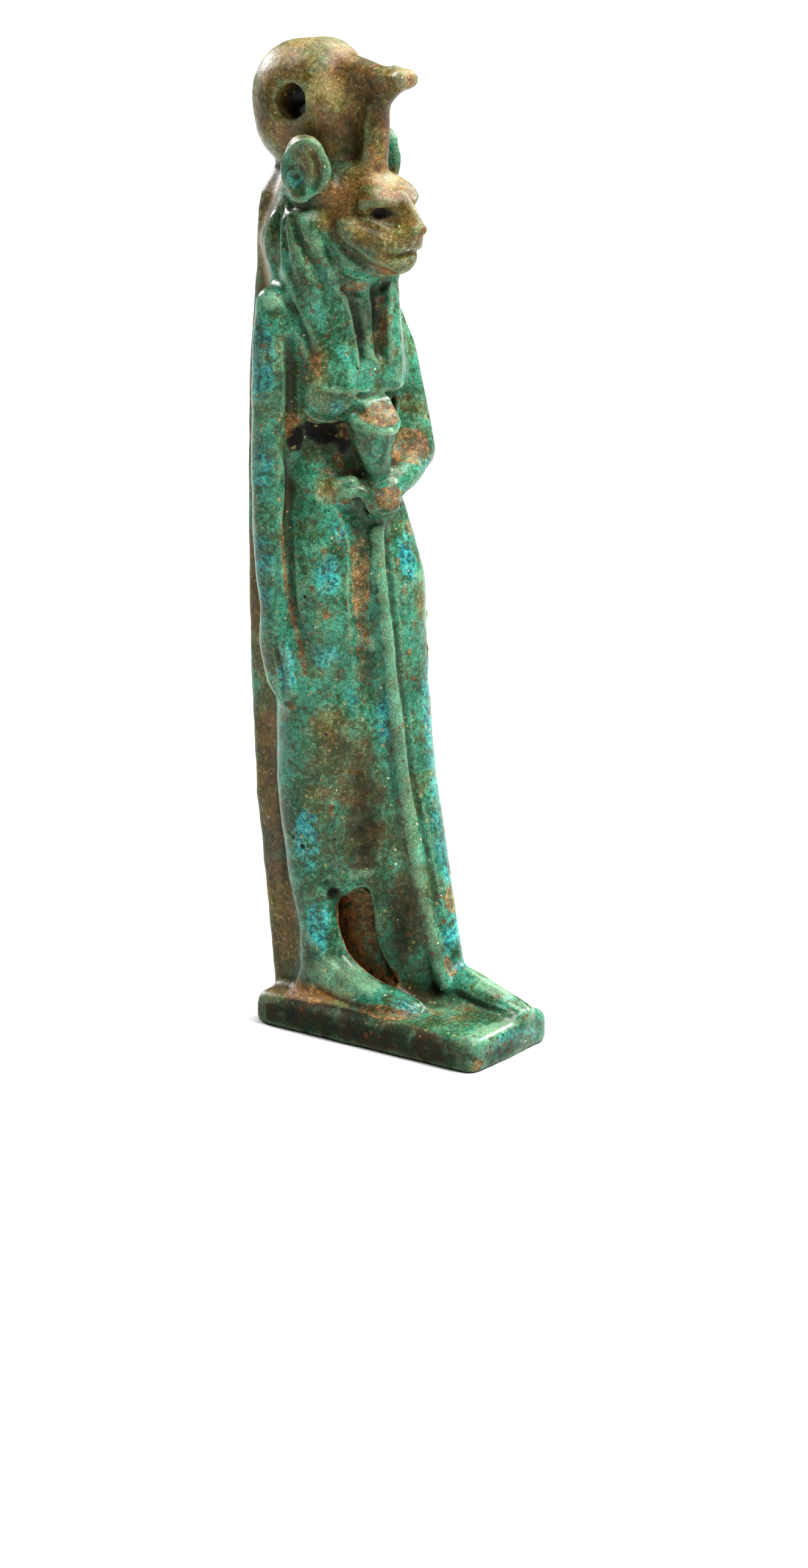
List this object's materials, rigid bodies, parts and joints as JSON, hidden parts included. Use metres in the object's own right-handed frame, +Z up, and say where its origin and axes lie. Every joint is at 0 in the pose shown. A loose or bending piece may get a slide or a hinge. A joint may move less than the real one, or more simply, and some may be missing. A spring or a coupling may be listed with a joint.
{
  "type": "faience amulet",
  "caption": "Glazed amulet of a striding lioness-headed goddess with sun disc, cobra and papyrus sceptre, on a plinth with a back pillar, pierced for a cord.",
  "frame": {"origin": "middle of the plinth's underside", "axes": "+Z up, the figure faces -Y, +X is the figure's left"},
  "size_m": [0.0162, 0.0286, 0.0879],
  "materials": {
    "faience_glaze": "mottled blue-green glaze, worn brown where it is thin"
  },
  "bodies": {
    "root": {"amulet": "faience_glaze"}
  },
  "joints": []
}
